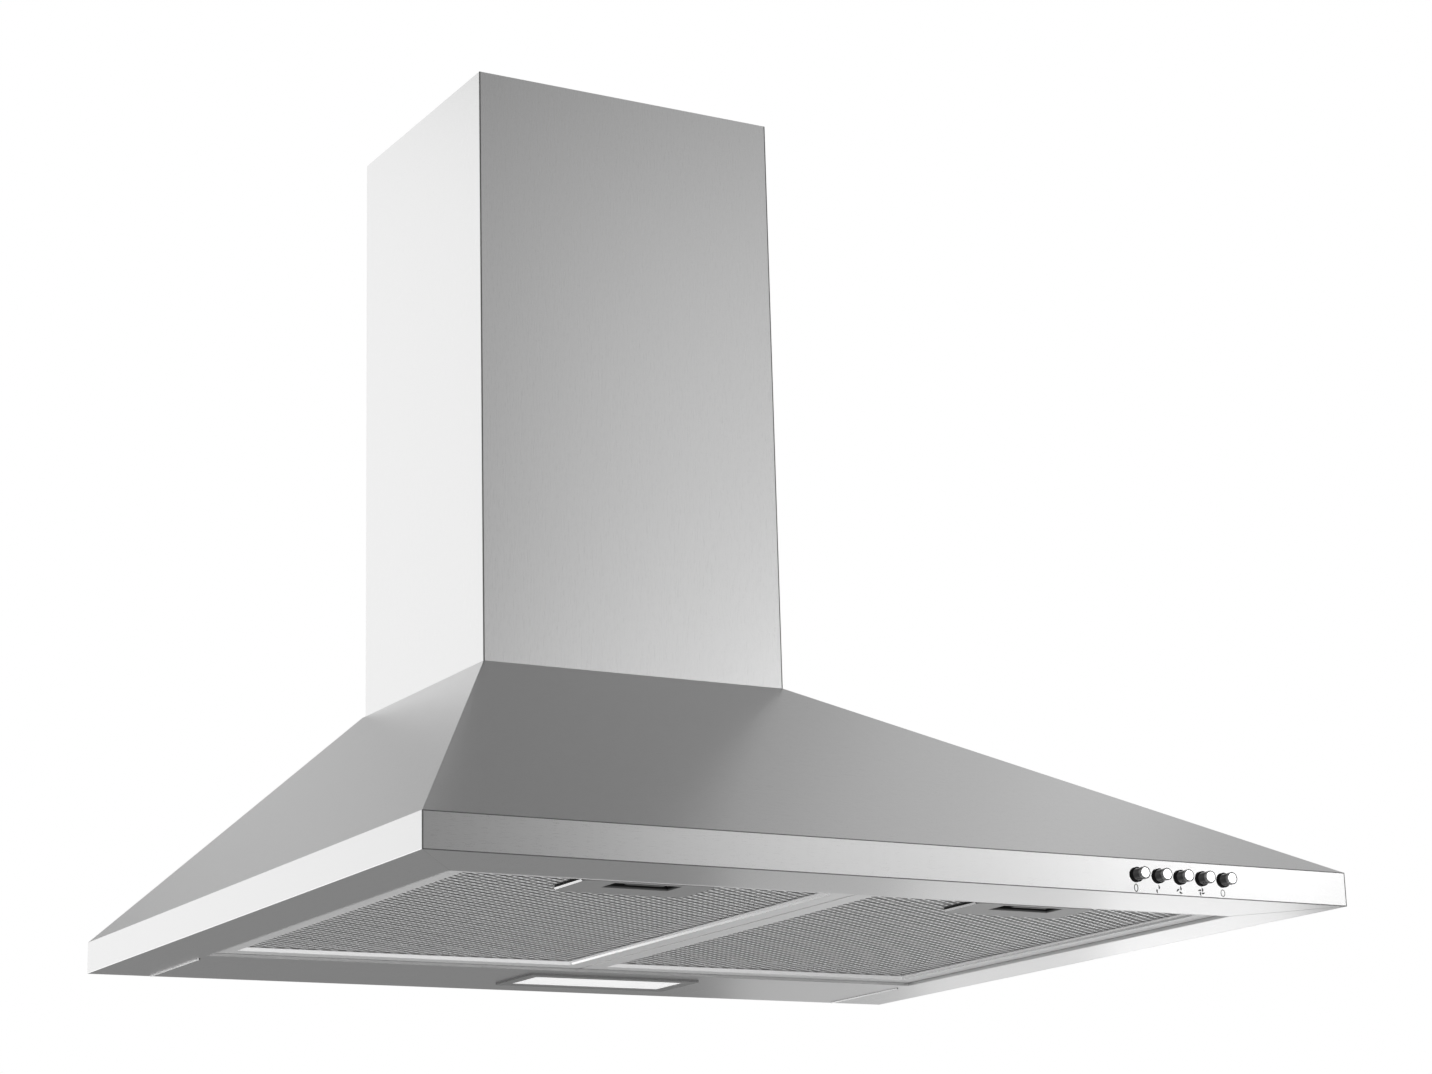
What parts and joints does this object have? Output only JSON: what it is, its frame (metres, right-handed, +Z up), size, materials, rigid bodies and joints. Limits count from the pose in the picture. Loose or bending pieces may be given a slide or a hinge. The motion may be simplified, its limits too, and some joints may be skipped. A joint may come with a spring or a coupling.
{
  "type": "wall-mounted range hood",
  "caption": "Wall range hood with a pyramid canopy, telescopic flue cover, drop-down grease filters, push buttons, lamp and a centrifugal blower with back-draught flaps",
  "frame": {"origin": "middle of the wall face, level with the canopy's underside", "axes": "+X right seen from the front, +Y into the wall, +Z up"},
  "size_m": [0.6, 0.5295, 0.5852],
  "materials": {
    "stainless": "fine horizontal brushing",
    "galvanised": "dull zinc coat",
    "filter_aluminium": "satin",
    "expanded_mesh": "plain expanded sheet",
    "latch_grey": "fine grain",
    "latch_dark": "fine grain",
    "button_black": "gloss",
    "button_chrome": "polished",
    "bezel_grey": "satin",
    "lens_white": "frosted",
    "lamp_can": "white paint",
    "circuit_board": "white solder mask",
    "led_yellow": "phosphor",
    "switch_plastic": "moulded",
    "terminal_brass": "bare",
    "blower_plastic": "moulded",
    "impeller_plastic": "moulded",
    "flap_plastic": "moulded",
    "motor_paint": "satin paint",
    "bright_steel": "zinc plated",
    "gland_black": "moulded",
    "capacitor_white": "smooth",
    "clamp_grey": "moulded"
  },
  "bodies": {
    "hood": {"canopy_shell": "stainless", "lower_flue_cover": "stainless", "lamp_panel": "stainless", "canopy_back_panel": "galvanised", "flue_wall_bracket": "galvanised", "motor_bracket": "galvanised", "button_bushes": "button_black", "lamp_bezel": "bezel_grey", "lamp_lens": "lens_white", "lamp_housing": "lamp_can", "led_board": "circuit_board", "led_chips": "led_yellow", "switch_block": "switch_plastic", "wiring_box": "switch_plastic", "wiring_box_lid": "switch_plastic", "switch_terminals": "terminal_brass", "casing_front_half": "blower_plastic", "casing_rear_half": "blower_plastic", "inlet_ring": "blower_plastic", "outlet_adapter": "blower_plastic", "duct_collar": "blower_plastic", "motor_body": "motor_paint", "damper_pin": "bright_steel", "blower_screws": "bright_steel", "cable_gland": "gland_black", "capacitor": "capacitor_white", "capacitor_clamp": "clamp_grey"},
    "upper_flue": {"upper_flue_cover": "stainless"},
    "impeller_wheel": {"impeller": "impeller_plastic", "impeller_nut": "bright_steel", "motor_shaft": "bright_steel"},
    "flap_left": {"damper_flap_left": "flap_plastic"},
    "flap_right": {"damper_flap_right": "flap_plastic"},
    "filter_left": {"filter_frame_left": "filter_aluminium", "filter_mesh_left": "expanded_mesh", "latch_bowl_left": "latch_grey"},
    "latch_left": {"latch_slider_left": "latch_dark"},
    "filter_right": {"filter_frame_right": "filter_aluminium", "filter_mesh_right": "expanded_mesh", "latch_bowl_right": "latch_grey"},
    "latch_right": {"latch_slider_right": "latch_dark"},
    "off_button": {"off_button_stem": "button_black", "off_button_cap": "button_chrome"},
    "speed_one_button": {"speed_one_button_stem": "button_black", "speed_one_button_cap": "button_chrome"},
    "speed_two_button": {"speed_two_button_stem": "button_black", "speed_two_button_cap": "button_chrome"},
    "speed_three_button": {"speed_three_button_stem": "button_black", "speed_three_button_cap": "button_chrome"},
    "light_button": {"light_button_stem": "button_black", "light_button_cap": "button_chrome"}
  },
  "joints": [
    {"name": "upper_flue_slide", "type": "slide", "parent": "hood", "child": "upper_flue", "axis": [0, 0, 1], "range_m": [0, 0.3]},
    {"name": "impeller_spin", "type": "hinge", "parent": "hood", "child": "impeller_wheel", "pos_m": [0, -0.1, 0.2], "axis": [0, 1, 0], "continuous": true},
    {"name": "flap_left_hinge", "type": "hinge", "parent": "hood", "child": "flap_left", "pos_m": [0, -0.1, 0.352], "axis": [0, 1, 0], "range_deg": [0, 75]},
    {"name": "flap_right_hinge", "type": "hinge", "parent": "hood", "child": "flap_right", "pos_m": [0, -0.1, 0.352], "axis": [0, -1, 0], "range_deg": [0, 75]},
    {"name": "filter_left_tilt", "type": "hinge", "parent": "hood", "child": "filter_left", "pos_m": [0, -0.106, 0.002], "axis": [1, 0, 0], "range_deg": [0, 60]},
    {"name": "latch_left_slide", "type": "slide", "parent": "filter_left", "child": "latch_left", "axis": [0, 1, 0], "range_m": [0, 0.007], "stiffness_N_per_m": 300, "springref_m": -0.004},
    {"name": "filter_right_tilt", "type": "hinge", "parent": "hood", "child": "filter_right", "pos_m": [0, -0.106, 0.002], "axis": [1, 0, 0], "range_deg": [0, 60]},
    {"name": "latch_right_slide", "type": "slide", "parent": "filter_right", "child": "latch_right", "axis": [0, 1, 0], "range_m": [0, 0.007], "stiffness_N_per_m": 300, "springref_m": -0.004},
    {"name": "off_button_press", "type": "slide", "parent": "hood", "child": "off_button", "axis": [0, 1, 0], "range_m": [0, 0.004], "stiffness_N_per_m": 500, "springref_m": -0.002},
    {"name": "speed_one_button_press", "type": "slide", "parent": "hood", "child": "speed_one_button", "axis": [0, 1, 0], "range_m": [0, 0.004], "stiffness_N_per_m": 500, "springref_m": -0.002},
    {"name": "speed_two_button_press", "type": "slide", "parent": "hood", "child": "speed_two_button", "axis": [0, 1, 0], "range_m": [0, 0.004], "stiffness_N_per_m": 500, "springref_m": -0.002},
    {"name": "speed_three_button_press", "type": "slide", "parent": "hood", "child": "speed_three_button", "axis": [0, 1, 0], "range_m": [0, 0.004], "stiffness_N_per_m": 500, "springref_m": -0.002},
    {"name": "light_button_press", "type": "slide", "parent": "hood", "child": "light_button", "axis": [0, 1, 0], "range_m": [0, 0.004], "stiffness_N_per_m": 500, "springref_m": -0.002}
  ]
}
